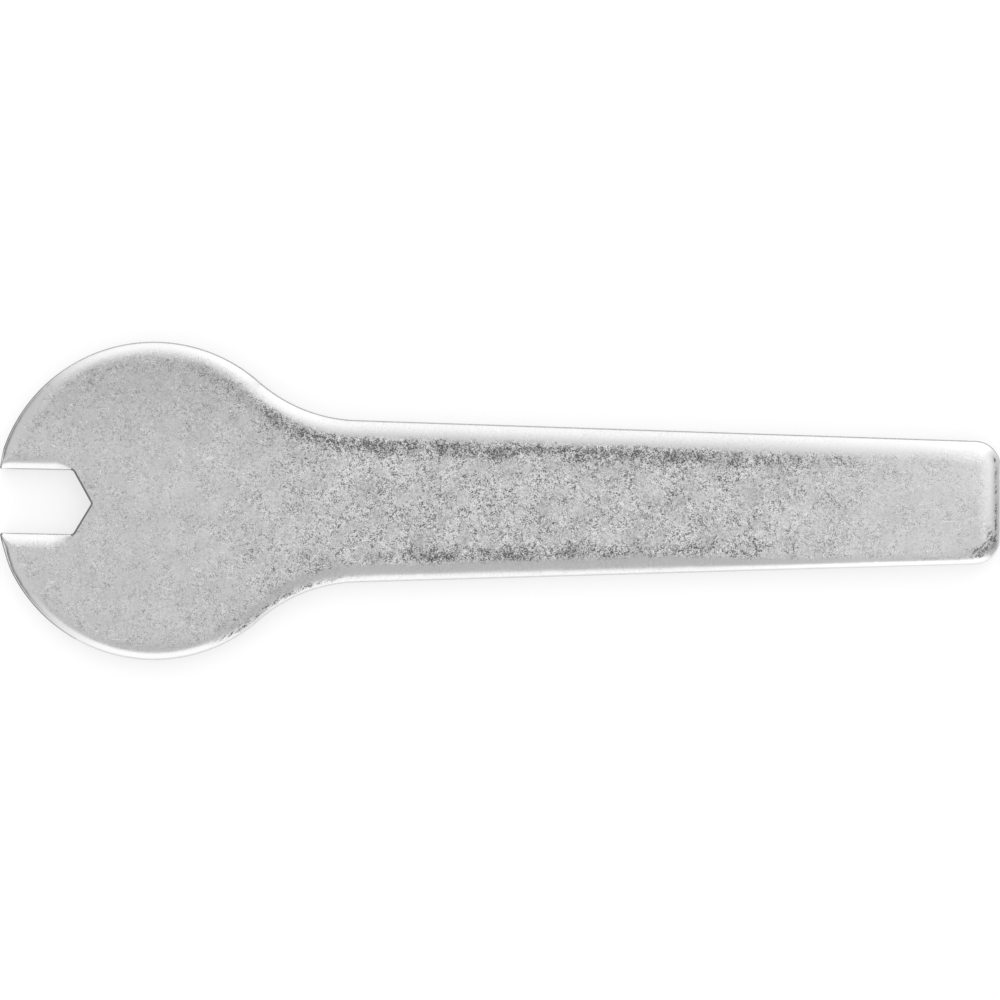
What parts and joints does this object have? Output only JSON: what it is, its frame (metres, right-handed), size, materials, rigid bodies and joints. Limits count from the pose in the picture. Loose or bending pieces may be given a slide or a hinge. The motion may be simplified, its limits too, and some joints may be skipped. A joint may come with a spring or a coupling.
{
  "type": "open-end wrench",
  "caption": "Flat stamped steel wrench with a round head, an open jaw with a hexagon seat at one end, and a tapered handle with rolled edges.",
  "frame": {"origin": "on the axis of the nut in the jaw, in the plane of the flat back face", "axes": "+X from the nut along the handle, +Y across the handle, +Z out of the rolled front face"},
  "size_m": [0.126, 0.0399, 0.004],
  "materials": {
    "plated_steel": "bright zinc plate over tumbled steel sheet, finely speckled, with burnished rolled edges"
  },
  "bodies": {
    "root": {"wrench_body": "plated_steel"}
  },
  "joints": []
}
